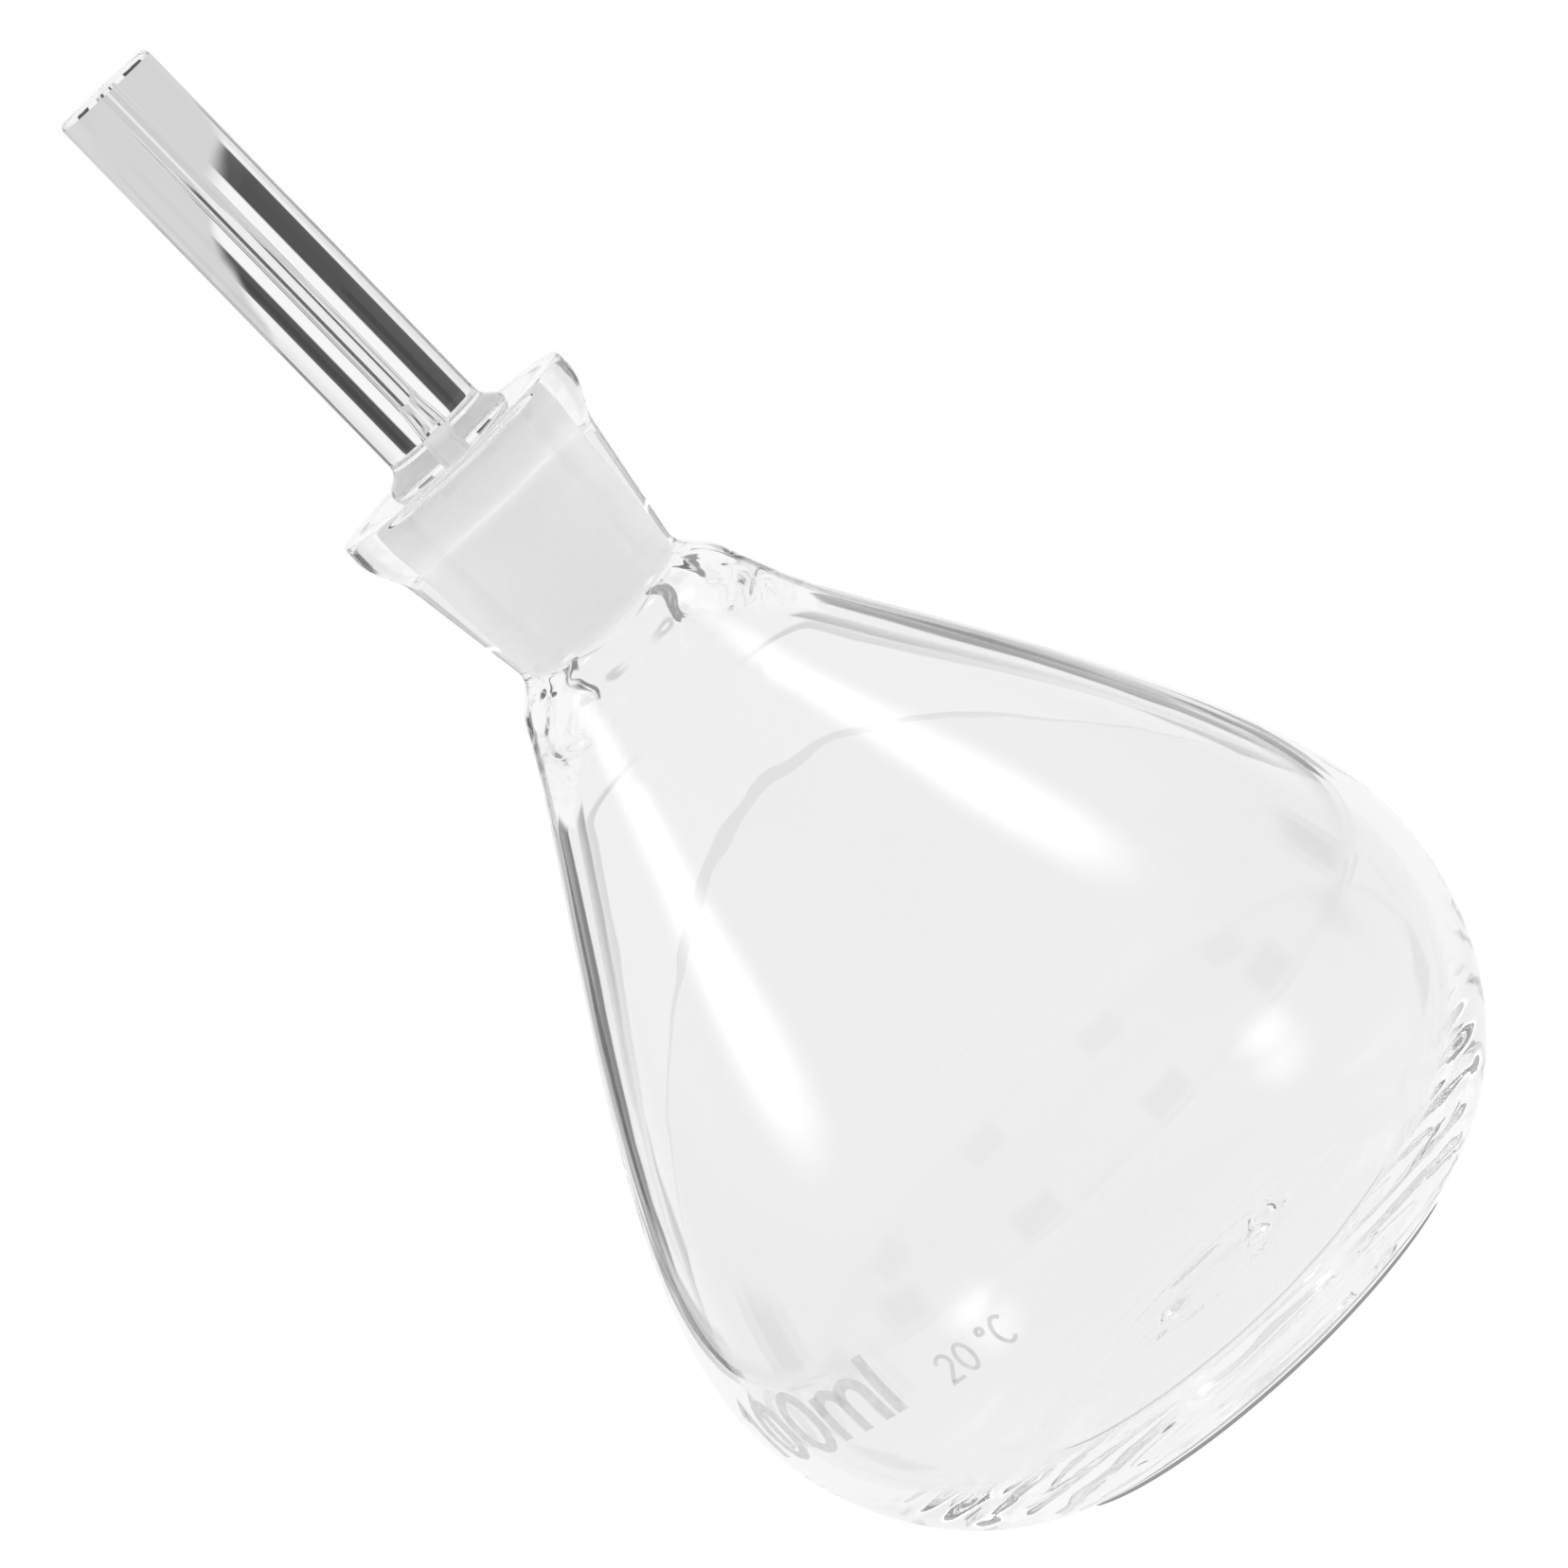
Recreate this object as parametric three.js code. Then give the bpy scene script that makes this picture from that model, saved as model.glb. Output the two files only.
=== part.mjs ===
// Gay-Lussac density bottle (pycnometer), nominal 100 ml, for weighing a known volume of liquid:
// a pear-shaped blown glass bottle with a ground conical neck, and a ground-in glass stopper
// whose long stem carries a capillary right through it.
// Millimetres, +Z up. The origin is the centre of the circle that the foot stands on.
import * as THREE from "three";

// Bottle body
const BODY_RADIUS = 31.1; // widest radius, at the belly
const BELLY_HEIGHT = 19.4; // height of the widest circle
const FOOT_RADIUS = 17.4; // outer edge of the flat ring that the bottle stands on
const FOOT_WIDTH = 2.9; // width of that ring
const PUSH_UP = 0.7; // rise of the underside inside the foot ring
const BASE_THICKNESS = 2.7; // glass between the push-up and the floor of the cavity
const BELLY_WALL = 1.7; // wall at the belly
const SHOULDER_WALL = 1.7; // wall at the upper end of the shoulder, before it thickens into the neck
const SHOULDER_END = { radius: 12.7, height: 58.5 }; // upper end of the curved shoulder
const SHOULDER_ANGLE = THREE.MathUtils.degToRad(31.5); // slope of the shoulder, from the axis

// Neck, with its ground socket
const COLLAR = { radius: 9.35, height: 65 }; // rounded ridge where the neck is fused on
const PINCH = { radius: 7.1, height: 68.4 }; // narrowest outside circle of the neck
const LIP_START = { radius: 8.6, height: 77.6 }; // where the neck flares out to the lip
const LIP_RADIUS = 10; // widest radius of the lip
const LIP_HEIGHT = 81.7;
const RIM_RADIUS = 9.75; // outer edge of the face on top of the lip
const RIM_HEIGHT = 82.9;
const MOUTH_CHAMFER = 0.5;

// Ground joint, a 10/15 cone with the usual 1:10 taper on diameter
const JOINT_TOP = 81.8;
const JOINT_LENGTH = 15;
const JOINT_TOP_RADIUS = 5.2; // radius at which cone and socket meet
const JOINT_TAPER = 1 / 20; // change of radius for each millimetre of height
const JOINT_GAP = 0.3; // radial clearance between the two solids
const JOINT_BOTTOM = JOINT_TOP - JOINT_LENGTH;
const SOCKET_RELIEF = 0.6; // the socket runs on this far below the cone

// Capillary stopper
const STEM_RADIUS = 4;
const STEM_TOP = 117.1;
const STEM_ROUNDING = 0.5;
const STEM_FOOT = 84.8; // where the stem starts to swell into the bead
const BEAD_RADIUS = 5.2;
const BEAD_HEIGHT = 83;
const WAIST_RADIUS = 4.6; // narrow groove between the bead and the ground cone
const WAIST_HEIGHT = 82.1;
const CAPILLARY_RADIUS = 0.6;
const LOWER_BORE_RADIUS = 0.8; // the bore is wider inside the bead and the cone
const BORE_TAPER_FOOT = 84.4;
const BORE_TAPER_TOP = 88;

const FACETS = 60; // round the axis
const CURVE_STEPS = 9; // for each long curve of a profile
const SHORT_CURVE_STEPS = 4;

const CLEAR_GLASS = { color: 0xeef2f2, roughness: 0.05, metalness: 0, transparent: true };

// A profile is a list of [radius, height] points. This adds a cubic curve from its last point.
function curve(profile, handle1, handle2, end, steps) {
  const knots = [profile.at(-1), handle1, handle2, end];
  const bezier = new THREE.CubicBezierCurve(...knots.map(([r, z]) => new THREE.Vector2(r, z)));
  for (const point of bezier.getPoints(steps).slice(1)) profile.push([point.x, point.y]);
}

// The solid swept by a profile round the Z axis.
function turned(name, profile, glass) {
  const geometry = new THREE.LatheGeometry(
    profile.map(([r, z]) => new THREE.Vector2(r, z)),
    FACETS,
  );
  geometry.rotateX(Math.PI / 2);
  const mesh = new THREE.Mesh(geometry, new THREE.MeshStandardMaterial(glass));
  mesh.name = name;
  return mesh;
}

// The point a given distance along the shoulder slope from start, upwards.
function alongShoulder([r, z], distance) {
  return [r - Math.sin(SHOULDER_ANGLE) * distance, z + Math.cos(SHOULDER_ANGLE) * distance];
}

const jointRadius = (height) => JOINT_TOP_RADIUS - (JOINT_TOP - height) * JOINT_TAPER;

// Underside, foot, belly, shoulder, neck and lip, from the axis out and up to the rim.
function bottleOutside() {
  const ringInside = FOOT_RADIUS - FOOT_WIDTH;
  const shoulderEnd = [SHOULDER_END.radius, SHOULDER_END.height];
  const profile = [[0, PUSH_UP]];
  curve(profile, [ringInside * 0.5, PUSH_UP], [ringInside * 0.85, 0.1], [ringInside, 0], SHORT_CURVE_STEPS);
  profile.push([FOOT_RADIUS, 0]);
  curve(
    profile,
    [FOOT_RADIUS + 5.4, 0],
    [BODY_RADIUS, BELLY_HEIGHT - 11.8],
    [BODY_RADIUS, BELLY_HEIGHT],
    CURVE_STEPS,
  );
  curve(
    profile,
    [BODY_RADIUS, BELLY_HEIGHT + 11.2],
    alongShoulder(shoulderEnd, -12.2),
    shoulderEnd,
    CURVE_STEPS,
  );
  curve(
    profile,
    alongShoulder(shoulderEnd, 3),
    [COLLAR.radius + 0.5, COLLAR.height - 1.2],
    [COLLAR.radius, COLLAR.height],
    SHORT_CURVE_STEPS,
  );
  curve(
    profile,
    [COLLAR.radius - 0.8, COLLAR.height + 1.8],
    [PINCH.radius, PINCH.height - 1.4],
    [PINCH.radius, PINCH.height],
    SHORT_CURVE_STEPS,
  );
  profile.push([LIP_START.radius, LIP_START.height]);
  curve(
    profile,
    [LIP_START.radius + 0.25, LIP_START.height + 1.6],
    [LIP_RADIUS, LIP_HEIGHT - 1.7],
    [LIP_RADIUS, LIP_HEIGHT],
    SHORT_CURVE_STEPS,
  );
  curve(
    profile,
    [LIP_RADIUS, LIP_HEIGHT + 0.8],
    [RIM_RADIUS + 0.2, RIM_HEIGHT],
    [RIM_RADIUS, RIM_HEIGHT],
    SHORT_CURVE_STEPS,
  );
  return profile;
}

// Mouth, ground socket and cavity, carried on from the rim down to the floor on the axis.
function bottleInside(profile) {
  const socketRadius = (height) => jointRadius(height) + JOINT_GAP / 2;
  const socketEnd = JOINT_BOTTOM - SOCKET_RELIEF;
  const floor = PUSH_UP + BASE_THICKNESS;
  const bellyInside = BODY_RADIUS - BELLY_WALL;
  const shoulderInside = [
    SHOULDER_END.radius - Math.cos(SHOULDER_ANGLE) * SHOULDER_WALL,
    SHOULDER_END.height - Math.sin(SHOULDER_ANGLE) * SHOULDER_WALL,
  ];
  profile.push([socketRadius(JOINT_TOP) + MOUTH_CHAMFER, JOINT_TOP + MOUTH_CHAMFER]);
  profile.push([socketRadius(JOINT_TOP), JOINT_TOP]);
  profile.push([socketRadius(socketEnd), socketEnd]);
  curve(
    profile,
    [socketRadius(socketEnd), socketEnd - 1.6],
    alongShoulder(shoulderInside, 6.5),
    shoulderInside,
    SHORT_CURVE_STEPS,
  );
  curve(
    profile,
    alongShoulder(shoulderInside, -11.7),
    [bellyInside, BELLY_HEIGHT + 10.7],
    [bellyInside, BELLY_HEIGHT],
    CURVE_STEPS,
  );
  curve(
    profile,
    [bellyInside, BELLY_HEIGHT - 10.2],
    [FOOT_RADIUS + 5.6, floor],
    [FOOT_RADIUS + 0.1, floor],
    CURVE_STEPS,
  );
  profile.push([0, floor]);
}

function bottle() {
  const profile = bottleOutside();
  bottleInside(profile);
  return turned("bottle", profile, CLEAR_GLASS);
}

// Ground cone, waist, bead and stem, closed along the bore that runs through all of them.
function capillaryStopper() {
  const coneRadius = (height) => jointRadius(height) - JOINT_GAP / 2;
  const start = [LOWER_BORE_RADIUS, JOINT_BOTTOM];
  const profile = [start, [coneRadius(JOINT_BOTTOM), JOINT_BOTTOM]];
  profile.push([coneRadius(JOINT_TOP), JOINT_TOP]);
  curve(
    profile,
    [WAIST_RADIUS, JOINT_TOP + 0.1],
    [WAIST_RADIUS, WAIST_HEIGHT - 0.1],
    [WAIST_RADIUS, WAIST_HEIGHT],
    SHORT_CURVE_STEPS,
  );
  curve(
    profile,
    [WAIST_RADIUS + 0.35, WAIST_HEIGHT + 0.1],
    [BEAD_RADIUS, BEAD_HEIGHT - 0.4],
    [BEAD_RADIUS, BEAD_HEIGHT],
    SHORT_CURVE_STEPS,
  );
  curve(
    profile,
    [BEAD_RADIUS, BEAD_HEIGHT + 0.95],
    [STEM_RADIUS, STEM_FOOT - 0.95],
    [STEM_RADIUS, STEM_FOOT],
    SHORT_CURVE_STEPS,
  );
  profile.push([STEM_RADIUS, STEM_TOP - STEM_ROUNDING]);
  curve(
    profile,
    [STEM_RADIUS, STEM_TOP - STEM_ROUNDING * 0.45],
    [STEM_RADIUS - STEM_ROUNDING * 0.55, STEM_TOP],
    [STEM_RADIUS - STEM_ROUNDING, STEM_TOP],
    SHORT_CURVE_STEPS,
  );
  profile.push([CAPILLARY_RADIUS, STEM_TOP]);
  profile.push([CAPILLARY_RADIUS, BORE_TAPER_TOP]);
  profile.push([LOWER_BORE_RADIUS, BORE_TAPER_FOOT]);
  profile.push(start);
  return turned("capillary_stopper", profile, CLEAR_GLASS);
}

const densityBottle = new THREE.Group();
densityBottle.add(bottle(), capillaryStopper());

export default densityBottle;
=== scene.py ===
import math

import bmesh
import bpy
from mathutils import Matrix, Vector, noise


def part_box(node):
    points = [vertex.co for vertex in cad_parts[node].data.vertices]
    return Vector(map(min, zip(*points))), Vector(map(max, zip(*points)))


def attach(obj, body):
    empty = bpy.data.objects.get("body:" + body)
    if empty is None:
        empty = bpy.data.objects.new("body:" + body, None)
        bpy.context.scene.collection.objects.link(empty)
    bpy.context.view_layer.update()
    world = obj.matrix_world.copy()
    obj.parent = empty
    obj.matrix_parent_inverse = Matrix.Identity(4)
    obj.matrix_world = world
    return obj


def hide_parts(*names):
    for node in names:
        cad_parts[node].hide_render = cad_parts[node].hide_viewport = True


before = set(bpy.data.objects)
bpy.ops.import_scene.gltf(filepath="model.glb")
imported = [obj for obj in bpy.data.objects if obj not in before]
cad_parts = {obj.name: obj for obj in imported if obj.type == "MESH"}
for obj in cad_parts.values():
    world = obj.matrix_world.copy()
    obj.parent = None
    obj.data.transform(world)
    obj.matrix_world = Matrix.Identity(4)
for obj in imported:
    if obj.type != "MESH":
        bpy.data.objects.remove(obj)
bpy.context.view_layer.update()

MM = 0.001

# ---------------------------------------------------------------- sizes, from the frame, in millimetres
BOTTLE_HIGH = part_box("bottle")[1] / MM
STOPPER_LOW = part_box("capillary_stopper")[0] / MM
STOPPER_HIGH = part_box("capillary_stopper")[1] / MM

BODY_RADIUS = BOTTLE_HIGH.x
RIM_HEIGHT = BOTTLE_HIGH.z
JOINT_BOTTOM = STOPPER_LOW.z
STEM_TOP = STOPPER_HIGH.z
BEAD_RADIUS = STOPPER_HIGH.x

# Bottle body
BELLY_HEIGHT = 19.4
FOOT_RADIUS = 17.4
FOOT_WIDTH = 2.9
PUSH_UP = 0.7
FLOOR_HEIGHT = 3.4
BELLY_WALL = 1.7
SHOULDER_WALL = 1.7
SHOULDER_END = (12.7, 58.5)
SHOULDER_ANGLE = math.radians(31.5)

# Neck
COLLAR = (9.35, 65.0)
PINCH = (7.1, 68.4)
LIP_START = (8.6, 77.6)
LIP_RADIUS = 10.0
LIP_HEIGHT = RIM_HEIGHT - 1.2
RIM_RADIUS = 9.75

# Ground joint: cone and socket share one taper, with a hair of air between them
JOINT_LENGTH = 15
JOINT_TOP = JOINT_BOTTOM + JOINT_LENGTH
JOINT_TOP_RADIUS = 5.2
JOINT_TAPER = 1 / 20
JOINT_GAP = 0.03
SOCKET_RELIEF = 0.6
CONE_CHAMFER = 0.15
MOUTH_FLARE_START = JOINT_TOP - 2.9
MOUTH_FLARE = 0.02

# Stopper
STEM_RADIUS = 4.0
STEM_ROUNDING = 0.5
STEM_FOOT = 84.8
BEAD_HEIGHT = 83.0
WAIST_RADIUS = 4.6
WAIST_HEIGHT = 82.1
CAPILLARY_RADIUS = 0.6
LOWER_BORE_RADIUS = 0.8
BORE_TAPER_FOOT = 84.4
BORE_TAPER_TOP = 88.0
FROSTED_BORE_TOP = 84.6

GLASS_IOR = 1.473
GLASS_TINT = 0.94
# Painted highlight: a paler line on the ground glass this far under the top of the joint, fading in and
# out over this distance, with painted shade a little darker above it
PAINTED_LINE_DEPTH = 2.9
PAINTED_LINE_FADE = 0.6
MARK_PROUD = 0.03
GLYPH_GAP = 0.10  # this and the next in cap heights
LONGEST_STEP = 0.06
MITRE_LIMIT = 0.5
FACETS = 256
LONG_STEPS = 56
SHORT_STEPS = 14
END_STEP = 0.02
SHARP_CORNER = math.radians(32)

# Ring and blobs on the cavity floor where the base was closed. Blobs: x, y, width and rise
SEAL_RING_RADIUS = 6.5
SEAL_RING_WIDTH = 0.9
SEAL_RING_RISE = 0.10
SEAL_SWIRL = 0.03
SEAL_BLOBS = ((5.3, 0.2, 1.5, 1.5), (4.2, -2.0, 0.9, 0.7), (-3.8, -0.5, 1.1, 0.6))

# Unevenness of the blown wall, and of the seam where the neck was fused on
WALL_SWELL = 0.05
SEAM_HEIGHT = 64.5
SEAM_REACH = 1.6
SEAM_WAVES = 0.3

# The hand-worked neck stands a little to one side of the body, and the stem leans back over it
NECK_OFFSET = 0.42
NECK_BEND = (58.0, 67.0)
STEM_LEAN = math.radians(-1.05)
STEM_OFFSET = 0.15


# ---------------------------------------------------------------- profiles and turned pieces
def curve(profile, handle1, handle2, end, steps):
    """Adds a cubic curve from the profile's last point to end. Points are (radius, height)."""
    start = profile[-1]
    for step in range(1, steps + 1):
        t = step / steps
        weights = ((1 - t) ** 3, 3 * (1 - t) ** 2 * t, 3 * (1 - t) * t * t, t**3)
        knots = (start, handle1, handle2, end)
        profile.append(tuple(sum(w * k[i] for w, k in zip(weights, knots)) for i in (0, 1)))


def straight(profile, end, steps):
    """Adds a straight line from the profile's last point to end, with a hair's step at each end.

    The short end steps keep a neighbouring curve's smoothed normals out of the straight."""
    start = profile[-1]
    hair = END_STEP / math.dist(start, end)
    stops = [hair] + [step / steps for step in range(1, steps)] + [1 - hair, 1]
    for t in stops:
        profile.append((start[0] + (end[0] - start[0]) * t, start[1] + (end[1] - start[1]) * t))


def along_shoulder(start, distance):
    """The point that far up the shoulder's slope from start."""
    return (
        start[0] - math.sin(SHOULDER_ANGLE) * distance,
        start[1] + math.cos(SHOULDER_ANGLE) * distance,
    )


def joint_radius(height):
    return JOINT_TOP_RADIUS - (JOINT_TOP - height) * JOINT_TAPER


def bottle_outside():
    """Underside, foot, belly, shoulder, neck and lip, from the axis out and up to the rim."""
    ring_inside = FOOT_RADIUS - FOOT_WIDTH
    profile = [(0, PUSH_UP)]
    curve(
        profile,
        (ring_inside * 0.5, PUSH_UP),
        (ring_inside * 0.85, 0.1),
        (ring_inside, 0),
        SHORT_STEPS,
    )
    straight(profile, (FOOT_RADIUS, 0), 3)
    curve(
        profile,
        (FOOT_RADIUS + 5.4, 0),
        (BODY_RADIUS, BELLY_HEIGHT - 11.8),
        (BODY_RADIUS, BELLY_HEIGHT),
        LONG_STEPS,
    )
    curve(
        profile,
        (BODY_RADIUS, BELLY_HEIGHT + 11.2),
        along_shoulder(SHOULDER_END, -12.2),
        SHOULDER_END,
        LONG_STEPS,
    )
    curve(
        profile,
        along_shoulder(SHOULDER_END, 3),
        (COLLAR[0] + 0.5, COLLAR[1] - 1.2),
        COLLAR,
        SHORT_STEPS,
    )
    curve(
        profile,
        (COLLAR[0] - 0.8, COLLAR[1] + 1.8),
        (PINCH[0], PINCH[1] - 1.4),
        PINCH,
        SHORT_STEPS,
    )
    straight(profile, LIP_START, SHORT_STEPS)
    curve(
        profile,
        (LIP_START[0] + 0.25, LIP_START[1] + 1.6),
        (LIP_RADIUS, LIP_HEIGHT - 1.7),
        (LIP_RADIUS, LIP_HEIGHT),
        SHORT_STEPS,
    )
    curve(
        profile,
        (LIP_RADIUS, LIP_HEIGHT + 0.8),
        (RIM_RADIUS + 0.2, RIM_HEIGHT),
        (RIM_RADIUS, RIM_HEIGHT),
        SHORT_STEPS,
    )
    return profile


def bottle_mouth_and_socket(profile):
    """Dished face of the lip, mouth and ground socket. Returns the heights of the ground zone."""
    socket_end = JOINT_BOTTOM - SOCKET_RELIEF

    def socket_radius(height):
        return joint_radius(height) + JOINT_GAP / 2

    mouth = (socket_radius(JOINT_TOP) + MOUTH_FLARE, JOINT_TOP)
    curve(
        profile,
        (RIM_RADIUS - 1.5, RIM_HEIGHT),
        (mouth[0] + 1.2, JOINT_TOP + 0.75),
        (mouth[0] + 0.25, JOINT_TOP + 0.3),
        SHORT_STEPS,
    )
    curve(profile, (mouth[0] + 0.1, JOINT_TOP + 0.2), (mouth[0], JOINT_TOP + 0.1), mouth, 4)
    straight(profile, (socket_radius(MOUTH_FLARE_START), MOUTH_FLARE_START), 6)
    straight(profile, (socket_radius(socket_end), socket_end), SHORT_STEPS)
    return socket_end, JOINT_TOP


def bottle_cavity(profile):
    """Throat, shoulder, belly and floor of the cavity, down to the floor on the axis."""
    throat = profile[-1]
    belly_inside = BODY_RADIUS - BELLY_WALL
    shoulder_inside = (
        SHOULDER_END[0] - math.cos(SHOULDER_ANGLE) * SHOULDER_WALL,
        SHOULDER_END[1] - math.sin(SHOULDER_ANGLE) * SHOULDER_WALL,
    )
    curve(
        profile,
        (throat[0], throat[1] - 1.6),
        along_shoulder(shoulder_inside, 6.5),
        shoulder_inside,
        LONG_STEPS,
    )
    curve(
        profile,
        along_shoulder(shoulder_inside, -11.7),
        (belly_inside, BELLY_HEIGHT + 10.7),
        (belly_inside, BELLY_HEIGHT),
        LONG_STEPS,
    )
    curve(
        profile,
        (belly_inside, BELLY_HEIGHT - 10.2),
        (FOOT_RADIUS + 5.6, FLOOR_HEIGHT),
        (FOOT_RADIUS + 0.1, FLOOR_HEIGHT),
        LONG_STEPS,
    )
    straight(profile, (0, FLOOR_HEIGHT), 2 * LONG_STEPS)


def stopper_outside():
    """Ground cone, waist, bead and stem, from the mouth of the bore at the bottom to the stem's top."""
    def cone_radius(height):
        return joint_radius(height) - JOINT_GAP / 2

    foot_radius = cone_radius(JOINT_BOTTOM)
    profile = [(LOWER_BORE_RADIUS, JOINT_BOTTOM), (foot_radius - CONE_CHAMFER, JOINT_BOTTOM)]
    profile.append((foot_radius, JOINT_BOTTOM + CONE_CHAMFER))
    straight(profile, (cone_radius(JOINT_TOP), JOINT_TOP), SHORT_STEPS)
    curve(
        profile,
        (WAIST_RADIUS, JOINT_TOP + 0.1),
        (WAIST_RADIUS, WAIST_HEIGHT - 0.1),
        (WAIST_RADIUS, WAIST_HEIGHT),
        SHORT_STEPS,
    )
    curve(
        profile,
        (WAIST_RADIUS + 0.35, WAIST_HEIGHT + 0.1),
        (BEAD_RADIUS, BEAD_HEIGHT - 0.4),
        (BEAD_RADIUS, BEAD_HEIGHT),
        SHORT_STEPS,
    )
    curve(
        profile,
        (BEAD_RADIUS, BEAD_HEIGHT + 0.95),
        (STEM_RADIUS, STEM_FOOT - 0.95),
        (STEM_RADIUS, STEM_FOOT),
        SHORT_STEPS,
    )
    straight(profile, (STEM_RADIUS, STEM_TOP - STEM_ROUNDING), LONG_STEPS)
    curve(
        profile,
        (STEM_RADIUS, STEM_TOP - STEM_ROUNDING * 0.45),
        (STEM_RADIUS - STEM_ROUNDING * 0.55, STEM_TOP),
        (STEM_RADIUS - STEM_ROUNDING, STEM_TOP),
        8,
    )
    return profile


def stopper_bore(profile):
    """The capillary, from the stem's top down to the wider bore in the cone, closing the profile."""
    profile.append((CAPILLARY_RADIUS, STEM_TOP))
    straight(profile, (CAPILLARY_RADIUS, BORE_TAPER_TOP), LONG_STEPS)
    curve(
        profile,
        (CAPILLARY_RADIUS, BORE_TAPER_TOP - 1.6),
        (LOWER_BORE_RADIUS, BORE_TAPER_FOOT + 1.2),
        (LOWER_BORE_RADIUS, BORE_TAPER_FOOT),
        SHORT_STEPS,
    )
    straight(profile, (LOWER_BORE_RADIUS, JOINT_BOTTOM), 8)
    profile.pop()


def eased(height, low, high):
    """0 up to the low height, 1 from the high one, and a smooth step between them."""
    t = min(max((height - low) / (high - low), 0), 1)
    return t * t * (3 - 2 * t)


def sway(height):
    """How far to the side the bottle is worked off the axis at that height."""
    return NECK_OFFSET * eased(height, *NECK_BEND)


def stopper_sway(height):
    """The same for the stopper, whose stem also leans."""
    lean = math.tan(STEM_LEAN) * max(height - STEM_FOOT, 0)
    return NECK_OFFSET + STEM_OFFSET * eased(height, JOINT_TOP, STEM_FOOT) + lean


def turned_mesh(name, profile, closed, side, is_ground, relief=None):
    """A mesh swept round the Z axis. side(height) shifts a ring sideways, is_ground(radius,
    height) says where it is ground, and relief(radius, height, turn, index) moves a point."""
    vertices = []
    rings = []
    ground = []
    for index, (radius, height) in enumerate(profile):
        if radius == 0:
            rings.append([len(vertices)])
            vertices.append(Vector((0, 0, height)) * MM)
            continue
        ring = []
        for facet in range(FACETS):
            turn = 2 * math.pi * facet / FACETS
            r, z = relief(radius, height, turn, index) if relief else (radius, height)
            ring.append(len(vertices))
            vertices.append(Vector((r * math.sin(turn) + side(z), -r * math.cos(turn), z)) * MM)
        rings.append(ring)
    faces = []
    spans = list(zip(rings, rings[1:]))
    if closed:
        spans.append((rings[-1], rings[0]))
    pairs = list(zip(profile, profile[1:] + profile[:1]))
    for (low, high), (start, end) in zip(spans, pairs):
        matt = is_ground((start[0] + end[0]) / 2, (start[1] + end[1]) / 2)
        for facet in range(FACETS):
            ground.append(1 if matt else 0)
            after = (facet + 1) % FACETS
            if len(low) == 1:
                faces.append((low[0], high[after], high[facet]))
            elif len(high) == 1:
                faces.append((low[facet], low[after], high[0]))
            else:
                faces.append((low[facet], low[after], high[after], high[facet]))
    mesh = bpy.data.meshes.new(name)
    mesh.from_pydata(vertices, [], faces)
    mesh.materials.append(CLEAR)
    mesh.materials.append(GROUND)
    mesh.polygons.foreach_set("material_index", ground)
    mesh.shade_smooth()
    mesh.set_sharp_from_angle(angle=SHARP_CORNER)
    return mesh


def add_piece(name, mesh, body):
    piece = bpy.data.objects.new(name, mesh)
    bpy.context.scene.collection.objects.link(piece)
    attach(piece, body)
    return piece


# ---------------------------------------------------------------- materials
def new_material(name):
    material = bpy.data.materials.new(name)
    material.use_nodes = True
    nodes = material.node_tree.nodes
    return material, nodes, material.node_tree.links, nodes["Principled BSDF"]


def noise_node(nodes, links, scale, detail=2.0, stretch=(1, 1, 1)):
    """A noise texture fixed to the piece, with scale in waves per metre."""
    place = nodes.new("ShaderNodeTexCoord")
    mapping = nodes.new("ShaderNodeMapping")
    mapping.inputs["Scale"].default_value = stretch
    texture = nodes.new("ShaderNodeTexNoise")
    texture.inputs["Scale"].default_value = scale
    texture.inputs["Detail"].default_value = detail
    links.new(place.outputs["Object"], mapping.inputs["Vector"])
    links.new(mapping.outputs["Vector"], texture.inputs["Vector"])
    return texture


def map_range(nodes, links, source, low, high, from_low=0.3, from_high=0.7):
    ramp = nodes.new("ShaderNodeMapRange")
    ramp.inputs["From Min"].default_value = from_low
    ramp.inputs["From Max"].default_value = from_high
    ramp.inputs["To Min"].default_value = low
    ramp.inputs["To Max"].default_value = high
    links.new(source, ramp.inputs["Value"])
    return ramp.outputs["Result"]


def bump_node(nodes, links, height, strength, distance):
    bump = nodes.new("ShaderNodeBump")
    bump.inputs["Strength"].default_value = strength
    bump.inputs["Distance"].default_value = distance
    links.new(height, bump.inputs["Height"])
    return bump.outputs["Normal"]


def colour_ramp(nodes, links, source, *stops):
    """A colour ramp of grey tones: stops are (position, tone)."""
    ramp = nodes.new("ShaderNodeValToRGB")
    elements = ramp.color_ramp.elements
    while len(elements) < len(stops):
        elements.new(0.5)
    for element, (position, tone) in zip(elements, stops):
        element.position = position
        element.color = (tone, tone, tone, 1)
    links.new(source, ramp.inputs["Fac"])
    return ramp.outputs["Color"]


def clear_glass():
    """Polished borosilicate glass, with the faint draw waves of blown glass."""
    material, nodes, links, shader = new_material("clear_glass")
    shader.inputs["Transmission Weight"].default_value = 1
    shader.inputs["IOR"].default_value = GLASS_IOR
    tone = noise_node(nodes, links, 45)
    links.new(
        colour_ramp(nodes, links, tone.outputs["Fac"], (0.3, GLASS_TINT - 0.01), (0.7, GLASS_TINT)),
        shader.inputs["Base Color"],
    )
    haze = noise_node(nodes, links, 90)
    links.new(map_range(nodes, links, haze.outputs["Fac"], 0.0, 0.012), shader.inputs["Roughness"])
    waves = noise_node(nodes, links, 160, 1.0)
    links.new(bump_node(nodes, links, waves.outputs["Fac"], 0.04, 0.0004), shader.inputs["Normal"])
    return material


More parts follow.
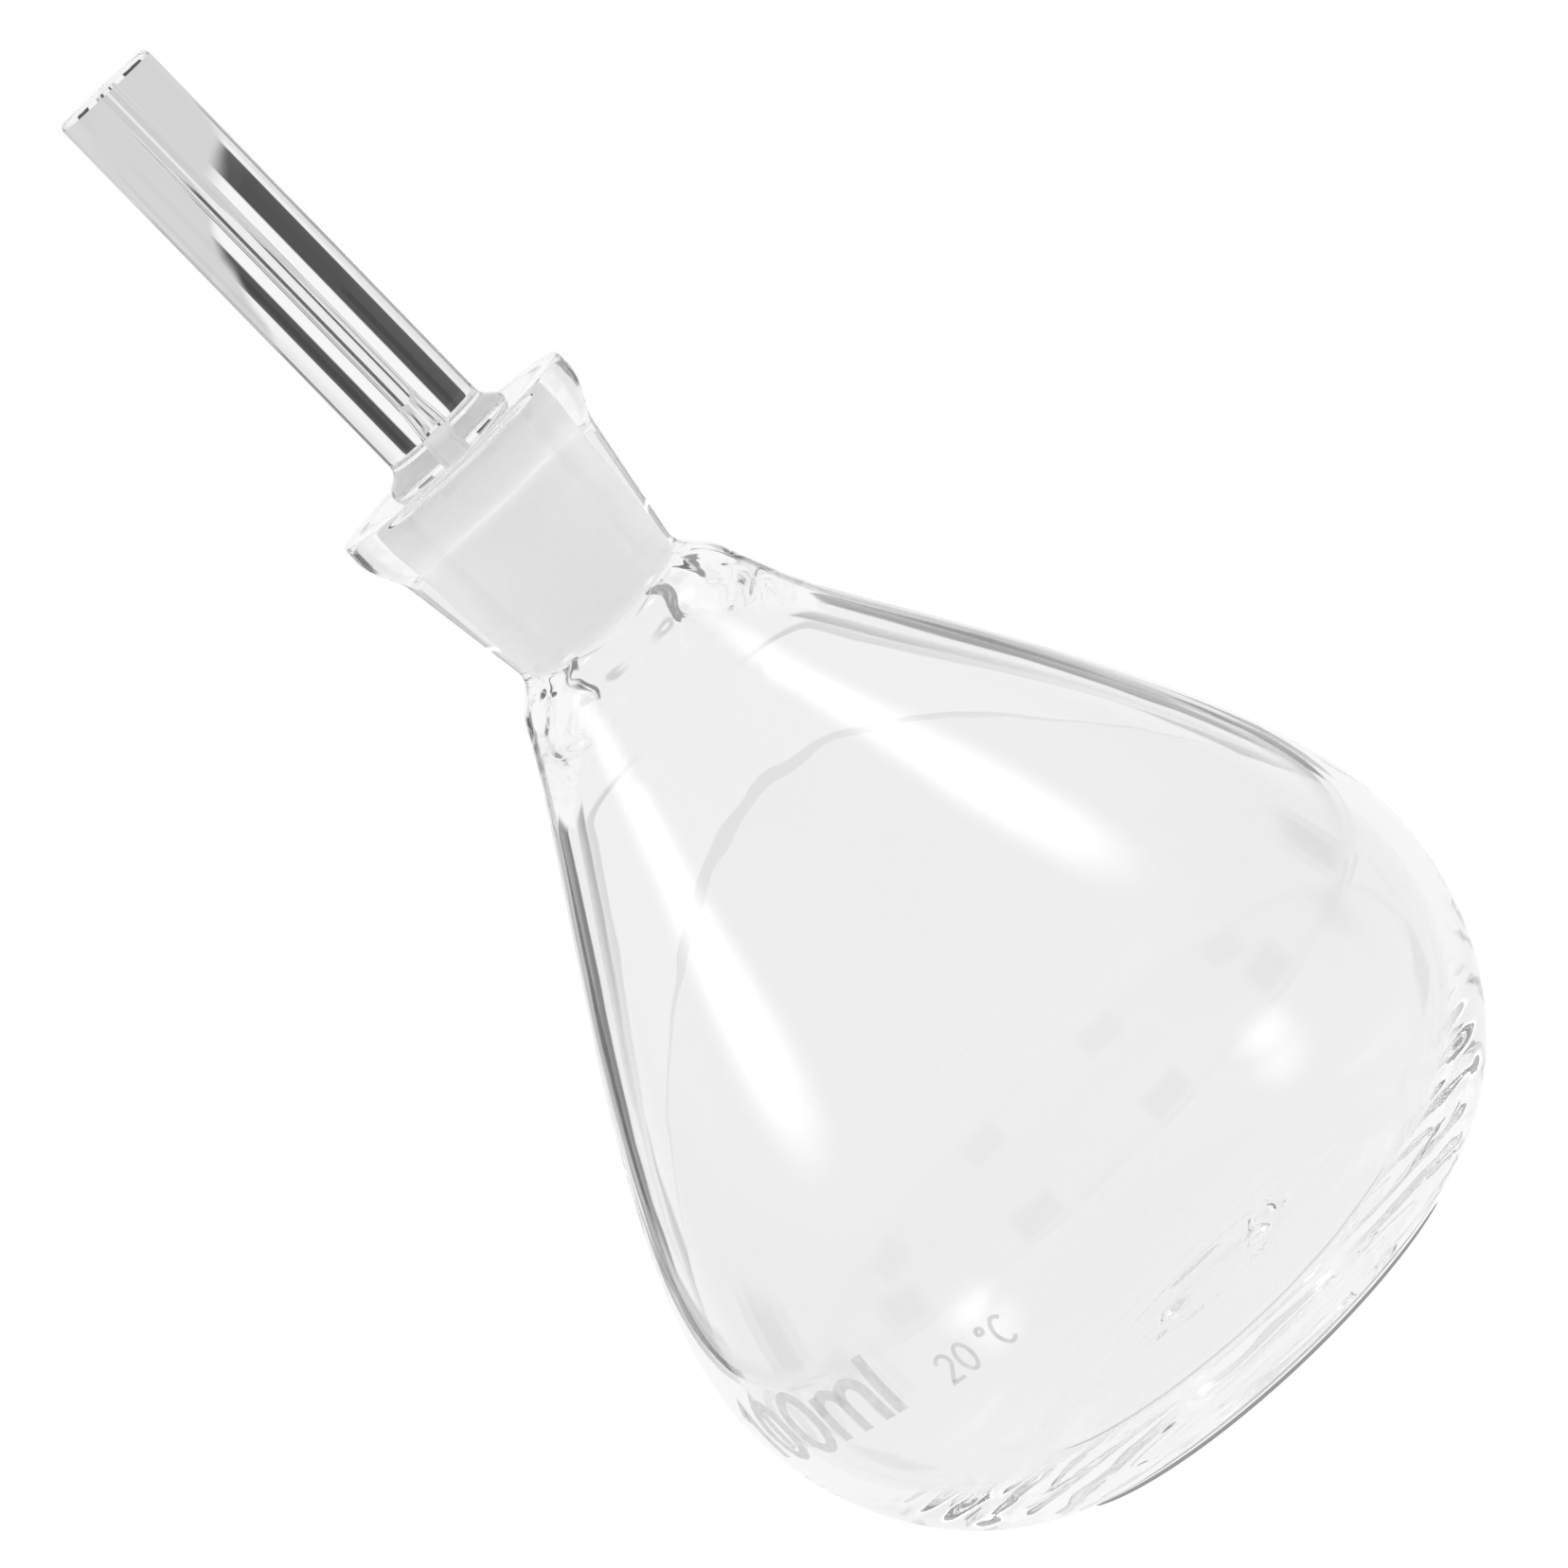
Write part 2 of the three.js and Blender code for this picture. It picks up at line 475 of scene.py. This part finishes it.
# From the foot of the ground joint to its top: position in the band, and tone. The pale peak is a
# painted highlight line, and the slightly darker tone above it is painted shade
GROUND_TONES_AND_PAINTED_LINE = ((0.0, 0.945), (0.3, 0.955), (0.5, 1.0), (0.7, 0.935), (1.0, 0.94))


def ground_glass():
    """Glass ground matt with fine abrasive. It scatters light and looks pale grey, with a painted
    highlight, a paler line, where the cone and the socket start to bear on each other, and painted
    shade, a slightly darker tone, just above it."""
    material, nodes, links, shader = new_material("ground_glass")
    shader.inputs["Transmission Weight"].default_value = 0.22
    shader.inputs["IOR"].default_value = GLASS_IOR
    place = nodes.new("ShaderNodeTexCoord")
    split = nodes.new("ShaderNodeSeparateXYZ")
    links.new(place.outputs["Object"], split.inputs[0])
    grind = noise_node(nodes, links, 420, 4.0, stretch=(1, 1, 2.5))
    wobble = map_range(nodes, links, grind.outputs["Fac"], -0.0002, 0.0002)
    height = nodes.new("ShaderNodeMath")
    height.operation = "ADD"
    links.new(split.outputs["Z"], height.inputs[0])
    links.new(wobble, height.inputs[1])
    # The painted highlight line and the painted shade above it, placed by height
    band = map_range(
        nodes,
        links,
        height.outputs[0],
        0.0,
        1.0,
        (JOINT_TOP - PAINTED_LINE_DEPTH - PAINTED_LINE_FADE) * MM,
        (JOINT_TOP - PAINTED_LINE_DEPTH + PAINTED_LINE_FADE) * MM,
    )
    tones = colour_ramp(nodes, links, band, *GROUND_TONES_AND_PAINTED_LINE)
    grain = noise_node(nodes, links, 2600, 3.0)
    speckle = colour_ramp(nodes, links, grain.outputs["Fac"], (0.3, 0.985), (0.7, 1.0))
    mix = nodes.new("ShaderNodeMix")
    mix.data_type = "RGBA"
    mix.blend_type = "MULTIPLY"
    mix.inputs[0].default_value = 1.0
    colours = [i for i in mix.inputs if i.type == "RGBA"]
    links.new(tones, colours[0])
    links.new(speckle, colours[1])
    links.new([o for o in mix.outputs if o.type == "RGBA"][0], shader.inputs["Base Color"])
    links.new(map_range(nodes, links, grind.outputs["Fac"], 0.72, 0.85), shader.inputs["Roughness"])
    fine = noise_node(nodes, links, 9000, 3.0)
    links.new(bump_node(nodes, links, fine.outputs["Fac"], 0.25, 0.00005), shader.inputs["Normal"])
    return material


def printed_enamel():
    """Faded grey fired marking, matt and a little uneven."""
    material, nodes, links, shader = new_material("printed_enamel")
    patch = noise_node(nodes, links, 1500, 3.0)
    links.new(
        colour_ramp(nodes, links, patch.outputs["Fac"], (0.3, 0.61), (0.7, 0.72)),
        shader.inputs["Base Color"],
    )
    links.new(map_range(nodes, links, patch.outputs["Fac"], 0.7, 0.9), shader.inputs["Roughness"])
    shader.inputs["Transmission Weight"].default_value = 0.2
    return material


# ---------------------------------------------------------------- the object
CLEAR = clear_glass()
GROUND = ground_glass()
ENAMEL = printed_enamel()


def make_bottle():
    profile = bottle_outside()
    ground_low, ground_high = bottle_mouth_and_socket(profile)
    inside_from = len(profile)
    bottle_cavity(profile)

    def relief(radius, height, turn, index):
        if index < inside_from:
            return radius, height
        if height <= FLOOR_HEIGHT + 0.001:
            return radius, height + seal_mark(radius, turn)
        return radius + wall_waves(radius, height, turn), height

    def is_ground(radius, height):
        return ground_low < height < ground_high and radius < JOINT_TOP_RADIUS + 0.3

    mesh = turned_mesh("bottle_shell", profile, False, sway, is_ground, relief)
    bottle = add_piece("bottle_shell", mesh, "bottle")
    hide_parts("bottle")
    return bottle


def seal_mark(radius, turn):
    """Height of the blobs and the partial ring left on the cavity floor where the base was closed."""
    x = radius * math.sin(turn)
    y = -radius * math.cos(turn)
    ripple = noise.noise(Vector((x, y, 0)) * 0.3)
    across = (radius - SEAL_RING_RADIUS) / SEAL_RING_WIDTH
    ring = SEAL_RING_RISE * math.exp(-(across**2)) * (1 + 1.6 * ripple)
    swirl = SEAL_SWIRL * noise.noise(Vector((x * 0.25, y * 0.25, 4.0)))
    blobs = 0.0
    for blob_x, blob_y, width, rise in SEAL_BLOBS:
        distance = math.hypot(x - blob_x, y - blob_y) / width
        blobs += rise * math.exp(-(distance**4))
    return ring + swirl + blobs


def wall_waves(radius, height, turn):
    """Uneven thickness of the blown wall, strongest at the seam where the neck was fused on."""
    spot = Vector((math.sin(turn) * 1.3, math.cos(turn) * 1.3, height * 0.06))
    swell = WALL_SWELL * noise.noise(spot)
    seam = math.exp(-(((height - SEAM_HEIGHT) / SEAM_REACH) ** 2)) * math.sin(turn) ** 4
    knot = Vector((math.sin(turn) * 3.5, math.cos(turn) * 3.5, height * 0.9))
    return swell + SEAM_WAVES * seam * noise.noise(knot)


def make_stopper():
    profile = stopper_outside()
    stopper_bore(profile)

    def is_ground(radius, height):
        in_bore = radius < LOWER_BORE_RADIUS + 0.05 and height < FROSTED_BORE_TOP
        return height < WAIST_HEIGHT or in_bore

    mesh = turned_mesh("stopper_glass", profile, True, stopper_sway, is_ground)
    stopper = add_piece("stopper_glass", mesh, "stopper")
    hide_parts("capillary_stopper")
    return stopper


# ---------------------------------------------------------------- marking
def arc(centre, radii, start, end, steps=14):
    """Points along an ellipse's arc, with the angles in degrees from the right, anticlockwise."""
    points = []
    for step in range(steps + 1):
        angle = math.radians(start + (end - start) * step / steps)
        points.append((centre[0] + radii[0] * math.cos(angle), centre[1] + radii[1] * math.sin(angle)))
    return points


# Strokes of each glyph in cap heights, and the glyph's width
GLYPHS = {
    "0": ([arc((0.3, 0.5), (0.24, 0.45), 0, 360, 28)], 0.60),
    "1": ([[(0.02, 0.72), (0.20, 0.95), (0.20, 0.05)]], 0.32),
    "2": ([arc((0.27, 0.70), (0.22, 0.25), 170, -35) + [(0.05, 0.05), (0.50, 0.05)]], 0.56),
    "C": ([arc((0.32, 0.5), (0.26, 0.45), 48, 312, 20)], 0.60),
    "m": (
        [
            [(0.06, 0.78), (0.06, 0.05)],
            arc((0.26, 0.50), (0.20, 0.25), 180, 0) + [(0.46, 0.05)],
            arc((0.66, 0.50), (0.20, 0.25), 180, 0) + [(0.86, 0.05)],
        ],
        0.92,
    ),
    "l": ([[(0.06, 0.98), (0.06, 0.05)]], 0.14),
    "°": ([arc((0.14, 0.84), (0.10, 0.10), 0, 360, 16)], 0.30),
    " ": ([], 0.22),
}


def ribbon(stroke, half_width):
    """Left and right edges of a stroke's ribbon, mitred at its corners."""
    left, right = [], []
    looped = math.dist(stroke[0], stroke[-1]) < 1e-6
    for index, point in enumerate(stroke):
        before = stroke[index - 1] if index else (stroke[-2] if looped else None)
        after = stroke[index + 1] if index + 1 < len(stroke) else (stroke[1] if looped else None)
        sides = []
        for a, b in ((before, point), (point, after)):
            if a is None or b is None:
                continue
            way = Vector((b[0] - a[0], b[1] - a[1])).normalized()
            sides.append(Vector((-way.y, way.x)))
        normal = sum(sides, Vector((0, 0))).normalized()
        reach = half_width / max(normal.dot(sides[0]), MITRE_LIMIT)
        left.append((point[0] + normal.x * reach, point[1] + normal.y * reach))
        right.append((point[0] - normal.x * reach, point[1] - normal.y * reach))
    return left, right


def subdivided(stroke, longest):
    """The stroke with points no further apart than longest."""
    points = [stroke[0]]
    for point in stroke[1:]:
        start = points[-1]
        steps = max(1, math.ceil(math.dist(start, point) / longest))
        for step in range(1, steps + 1):
            t = step / steps
            points.append((start[0] + (point[0] - start[0]) * t, start[1] + (point[1] - start[1]) * t))
    return points


def outside_radius(height):
    """The bottle's outer radius at a height on its body."""
    profile = [point for point in bottle_outside() if point[1] < SHOULDER_END[1]]
    for low, high in zip(profile, profile[1:]):
        if low[1] <= height <= high[1] and high[0] > FOOT_RADIUS:
            t = (height - low[1]) / (high[1] - low[1])
            return low[0] + (high[0] - low[0]) * t
    return BODY_RADIUS


def marking_text(vertices, faces, text, start_turn, baseline, cap, stretch, weight):
    """Adds a line of text that runs round the body from start_turn, in degrees from the front."""
    cursor = 0.0
    for glyph in text:
        strokes, width = GLYPHS[glyph]
        for stroke in strokes:
            points = subdivided(stroke, LONGEST_STEP)
            left, right = ribbon(points, weight / 2)
            first = len(vertices)
            for edge_points in zip(left, right):
                for across, up in edge_points:
                    height = baseline + up * cap
                    radius = outside_radius(height) + MARK_PROUD
                    turn = math.radians(start_turn) + (cursor + across) * cap * stretch / BODY_RADIUS
                    place = Vector((radius * math.sin(turn), -radius * math.cos(turn), height))
                    vertices.append(place * MM)
            for step in range(len(points) - 1):
                corner = first + 2 * step
                faces.append((corner, corner + 1, corner + 3, corner + 2))
        cursor += width + GLYPH_GAP


# Each line of the marking: text, start in degrees from the front, baseline, cap height, stretch
# of the widths, and stroke weight in cap heights
MARKING = (
    ("100ml", -77.4, 16.8, 5.3, 1.2, 0.16),
    ("20 °C", -34.6, 16.6, 2.4, 1.0, 0.13),
)


def make_marking():
    vertices, faces = [], []
    for line in MARKING:
        marking_text(vertices, faces, *line)
    mesh = bpy.data.meshes.new("volume_marking")
    mesh.from_pydata(vertices, [], faces)
    mesh.shade_smooth()
    mesh.materials.append(ENAMEL)
    return add_piece("volume_marking", mesh, "bottle")


make_bottle()
make_stopper()
make_marking()


# ---------------------------------------------------------------- stage
TABLE_RADIUS = 0.357
TABLE_EDGE = 0.012
TABLE_ALBEDO = 0.1
TABLE_GLOW = 0.93
TABLE_IN_GLASS = 0.97
TABLE_EDGE_GLOW = 0.85
CONTACT_RADIUS = 0.0191
CONTACT_WIDTH = 0.0011
CONTACT_TURNS = (-62, 50)  # degrees round the foot, from the front
CONTACT_GLOW = 0.32
BACKDROP_RADIUS = 3.0

# Heights of the stage's layers, just under the foot
CONTACT_LAYER = -0.00001
TABLE_LAYER = -0.00002
UNDER_LAYER = -0.00004


def stage_object(name, mesh, material):
    piece = bpy.data.objects.new(name, mesh)
    bpy.context.scene.collection.objects.link(piece)
    mesh.materials.append(material)
    return piece


def glowing(name, strength, albedo=None):
    """A surface that glows by itself, and where albedo is given also takes light and shadow."""
    material, nodes, links, shader = new_material(name)
    shader.inputs["Emission Color"].default_value = (1, 1, 1, 1)
    shader.inputs["Emission Strength"].default_value = strength
    shader.inputs["Base Color"].default_value = (albedo, albedo, albedo, 1) if albedo else (0, 0, 0, 1)
    shader.inputs["Specular IOR Level"].default_value = 0
    shader.inputs["Roughness"].default_value = 1
    return material


def ring_mesh(name, outer, inner, height, steps=160):
    """A flat ring, or a disc where inner is 0."""
    mesh = bpy.data.meshes.new(name)
    turns = [2 * math.pi * step / steps for step in range(steps)]
    rim = [(outer * math.cos(a), outer * math.sin(a), height) for a in turns]
    if inner:
        hole = [(inner * math.cos(a), inner * math.sin(a), height) for a in turns]
        faces = [(i, (i + 1) % steps, steps + (i + 1) % steps, steps + i) for i in range(steps)]
        mesh.from_pydata(rim + hole, [], faces)
    else:
        mesh.from_pydata(rim, [], [tuple(range(steps))])
    return mesh


def contact_mesh(steps=60):
    """The thin shadow under the heel on the viewer's side, tapering to both ends."""
    mesh = bpy.data.meshes.new("contact_shadow")
    vertices = []
    for step in range(steps + 1):
        start, end = CONTACT_TURNS
        turn = math.radians(start + (end - start) * step / steps)
        half = CONTACT_WIDTH / 2 * math.sin(math.pi * step / steps) ** 0.5
        for radius in (CONTACT_RADIUS - half, CONTACT_RADIUS + half):
            vertices.append((radius * math.sin(turn), -radius * math.cos(turn), CONTACT_LAYER))
    faces = [(2 * i, 2 * i + 1, 2 * i + 3, 2 * i + 2) for i in range(steps)]
    mesh.from_pydata(vertices, [], faces)
    return mesh


def make_stage():
    """A pale round table in two layers, one for the camera and one for the glass, with its grey
    edge strip, the shadow under the foot, and a white backdrop that only the camera sees."""
    table_mesh = ring_mesh("table", TABLE_RADIUS, 0, TABLE_LAYER)
    table = stage_object("table", table_mesh, glowing("table_white", TABLE_GLOW, TABLE_ALBEDO))
    table.visible_transmission = False
    table.visible_glossy = False
    under_mesh = ring_mesh("table_under", TABLE_RADIUS, 0, UNDER_LAYER)
    under = stage_object("table_under", under_mesh, glowing("table_pale", TABLE_IN_GLASS))
    under.visible_camera = False
    edge_mesh = ring_mesh("table_edge", TABLE_RADIUS + TABLE_EDGE, TABLE_RADIUS, UNDER_LAYER)
    edge = stage_object("table_edge", edge_mesh, glowing("table_edge_grey", TABLE_EDGE_GLOW))
    edge.visible_camera = False
    stage_object("contact_shadow", contact_mesh(), glowing("contact_grey", CONTACT_GLOW))
    backdrop_mesh = bpy.data.meshes.new("backdrop")
    ball = bmesh.new()
    bmesh.ops.create_icosphere(ball, subdivisions=4, radius=BACKDROP_RADIUS)
    ball.to_mesh(backdrop_mesh)
    ball.free()
    backdrop = stage_object("backdrop", backdrop_mesh, glowing("backdrop_white", 1.0))
    backdrop.visible_diffuse = False
    backdrop.visible_glossy = False
    backdrop.visible_transmission = False
    backdrop.visible_shadow = False


# Studio surroundings: angles in degrees, azimuth from straight behind the object, towards its right
PANEL_SPACING = 45.0
PANEL_HALF_WIDTH = 16.0
AROUND = 1.0  # tone of the panels
DIM = 0.28  # the gaps beside and before the object
DARK = 0.06  # the gaps behind it
HALF_DARK = 0.25  # the upper part of those on the right
HALF_DARK_START = -0.6
LEFT_GAP_TOP = 10.0
RIGHT_GAP_TOP = 9.0
SCREEN = (-41.0, -25.0)  # a low dark screen behind the object, on its left
BEHIND_LIMIT = 80.0  # how far round the gaps count as behind
OUTER_START = 48.0  # from here on the gaps are dim, and the low part of the room is greyer
SIDE_TONE = 0.88
SIDE_TOP = 22.0
BAND_GREY = 0.70  # a grey band at the horizon, open straight behind the object
BAND_LOW = -2.30
BAND_HIGH = 0.2
BAND_OPENING = 5.0
BAND_DROP = 0.009  # how much the band drops for each degree to the side
BAND_DROP_SKEW = 0.003  # how much less of that there is on the right
BAND_DROP_LIMIT = 40.0
CEILING_START = 58.0
CEILING = 0.8
SOFTBOXES = ((-104.0, 41.0, 15.0, 8.0), (104.0, 41.0, 15.0, 8.0))  # azimuth, elevation, half sizes
SOFTBOX_GLOW = 4.2
SOFTBOX_TAIL = 1.5  # how much further a soft box reaches down than up


class WorldMaths:
    """Short names for the maths nodes of the world shader."""

    def __init__(self, world):
        world.use_nodes = True
        self.nodes = world.node_tree.nodes
        self.links = world.node_tree.links

    def run(self, operation, *values):
        node = self.nodes.new("ShaderNodeMath")
        node.operation = operation
        for socket, value in zip(node.inputs, values):
            if isinstance(value, (int, float)):
                socket.default_value = value
            else:
                self.links.new(value, socket)
        return node.outputs[0]

    def rise(self, value, edge, softness):
        """0 below the edge and 1 above it."""
        ramp = self.nodes.new("ShaderNodeMapRange")
        ramp.interpolation_type = "SMOOTHSTEP"
        ramp.inputs["From Min"].default_value = edge - softness
        ramp.inputs["From Max"].default_value = edge + softness
        self.links.new(value, ramp.inputs["Value"])
        return ramp.outputs["Result"]

    def fall(self, value, edge, softness):
        """1 below the edge and 0 above it."""
        return self.run("SUBTRACT", 1.0, self.rise(value, edge, softness))

    def between(self, value, low, high, softness):
        return self.run("MULTIPLY", self.rise(value, low, softness), self.fall(value, high, softness))

    def blend(self, low, high, factor):
        """low where factor is 0, high where it is 1."""
        return self.run("ADD", low, self.run("MULTIPLY", self.run("SUBTRACT", high, low), factor))


def studio_world():
    """Pale panels stand round the object with dark gaps between them, under a pale ceiling."""
    world = bpy.data.worlds.new("studio")
    bpy.context.scene.world = world
    w = WorldMaths(world)
    split = w.nodes.new("ShaderNodeSeparateXYZ")
    w.links.new(w.nodes.new("ShaderNodeTexCoord").outputs["Generated"], split.inputs[0])
    azimuth = w.run("DEGREES", w.run("ARCTAN2", split.outputs["X"], split.outputs["Y"]))
    elevation = w.run("DEGREES", w.run("ARCSINE", split.outputs["Z"]))
    turns = w.run("DIVIDE", azimuth, PANEL_SPACING)
    from_panel = w.run("ABSOLUTE", w.run("SUBTRACT", turns, w.run("ROUND", turns)))
    gap = w.rise(w.run("MULTIPLY", from_panel, PANEL_SPACING), PANEL_HALF_WIDTH, 0.8)
    screen = w.between(azimuth, *SCREEN, 1.0)
    gap = w.run("MAXIMUM", gap, w.run("MULTIPLY", screen, w.fall(elevation, 0.0, 1.0)))
    aside = w.run("ABSOLUTE", azimuth)
    behind = w.fall(aside, BEHIND_LIMIT, 4.0)
    rightward = w.rise(azimuth, 0.0, 1.0)
    left_tone = w.blend(DARK, AROUND, w.rise(elevation, LEFT_GAP_TOP, 3.0))
    right_low = w.blend(DARK, HALF_DARK, w.rise(elevation, HALF_DARK_START, 0.4))
    right_tone = w.blend(right_low, AROUND, w.rise(elevation, RIGHT_GAP_TOP, 2.0))
    gap_tone = w.blend(left_tone, right_tone, rightward)
    outer = w.rise(aside, OUTER_START, 2.0)
    gap_tone = w.blend(gap_tone, w.run("MAXIMUM", gap_tone, DIM), outer)
    ring_behind = w.blend(AROUND, gap_tone, gap)
    low_part = w.fall(elevation, RIGHT_GAP_TOP, 2.0)
    ring_before = w.blend(AROUND, DIM, w.run("MULTIPLY", gap, low_part))
    ring = w.blend(ring_before, ring_behind, behind)
    low_sides = w.run("MULTIPLY", w.rise(aside, OUTER_START, 3.0), w.fall(elevation, SIDE_TOP, 6.0))
    ring = w.blend(ring, w.run("MULTIPLY", ring, SIDE_TONE), low_sides)
    skew = w.run("MULTIPLY", w.run("SIGN", azimuth), BAND_DROP_SKEW)
    slope = w.run("SUBTRACT", BAND_DROP, skew)
    drop = w.run("MULTIPLY", w.run("MINIMUM", aside, BAND_DROP_LIMIT), slope)
    lowered = w.run("ADD", elevation, drop)
    band = w.run("MULTIPLY", w.rise(lowered, BAND_LOW, 0.12), w.fall(lowered, BAND_HIGH, 1.2))
    band = w.run("MULTIPLY", band, w.rise(aside, BAND_OPENING, 3.0))
    ring = w.blend(ring, BAND_GREY, band)
    total = w.blend(ring, CEILING, w.rise(elevation, CEILING_START, 6.0))
    for box_azimuth, box_elevation, half_width, half_height in SOFTBOXES:
        across = w.run("DIVIDE", w.run("SUBTRACT", azimuth, box_azimuth), half_width)
        above = w.run("SUBTRACT", elevation, box_elevation)
        below = w.run("MINIMUM", w.run("DIVIDE", above, half_height * SOFTBOX_TAIL), 0.0)
        up = w.run("ADD", below, w.run("MAXIMUM", w.run("DIVIDE", above, half_height), 0.0))
        reach = w.run("SQRT", w.run("ADD", w.run("POWER", across, 2.0), w.run("POWER", up, 2.0)))
        lit = w.fall(reach, 0.65, 0.6)
        total = w.run("ADD", total, w.run("MULTIPLY", lit, SOFTBOX_GLOW))
    background = w.nodes["Background"]
    background.inputs["Color"].default_value = (1, 1, 1, 1)
    w.links.new(total, background.inputs["Strength"])


make_stage()
studio_world()


# ---------------------------------------------------------------- camera
LIGHT_BOUNCES = 160  # light guided along thick glass is lost with fewer
CAMERA_BACK = 0.5354
CAMERA_HEIGHT = 0.1285
AIM_HEIGHT = 0.0502
SIDE_STEP = 0.00146
ROLL = math.radians(43.13)
FOCAL_PIXELS = 8269.5
FRAME_PIXELS = 1656

camera = bpy.data.objects.new("camera", bpy.data.cameras.new("camera"))
bpy.context.scene.collection.objects.link(camera)
bpy.context.scene.camera = camera
camera.location = (SIDE_STEP, -CAMERA_BACK, CAMERA_HEIGHT)
look = Vector((SIDE_STEP, 0, AIM_HEIGHT)) - camera.location
upright = look.to_track_quat("-Z", "Y").to_matrix().to_4x4()
camera.rotation_mode = "QUATERNION"
camera.rotation_quaternion = (upright @ Matrix.Rotation(-ROLL, 4, "Z")).to_quaternion()
camera.data.sensor_width = 36.0
camera.data.lens = camera.data.sensor_width * FOCAL_PIXELS / FRAME_PIXELS
camera.data.clip_start = 0.01
camera.data.clip_end = 20.0

scene = bpy.context.scene
scene.view_settings.view_transform = "Standard"
scene.cycles.max_bounces = LIGHT_BOUNCES
scene.cycles.transmission_bounces = LIGHT_BOUNCES
scene.cycles.glossy_bounces = LIGHT_BOUNCES
scene.cycles.diffuse_bounces = LIGHT_BOUNCES
scene.cycles.blur_glossy = 0.0
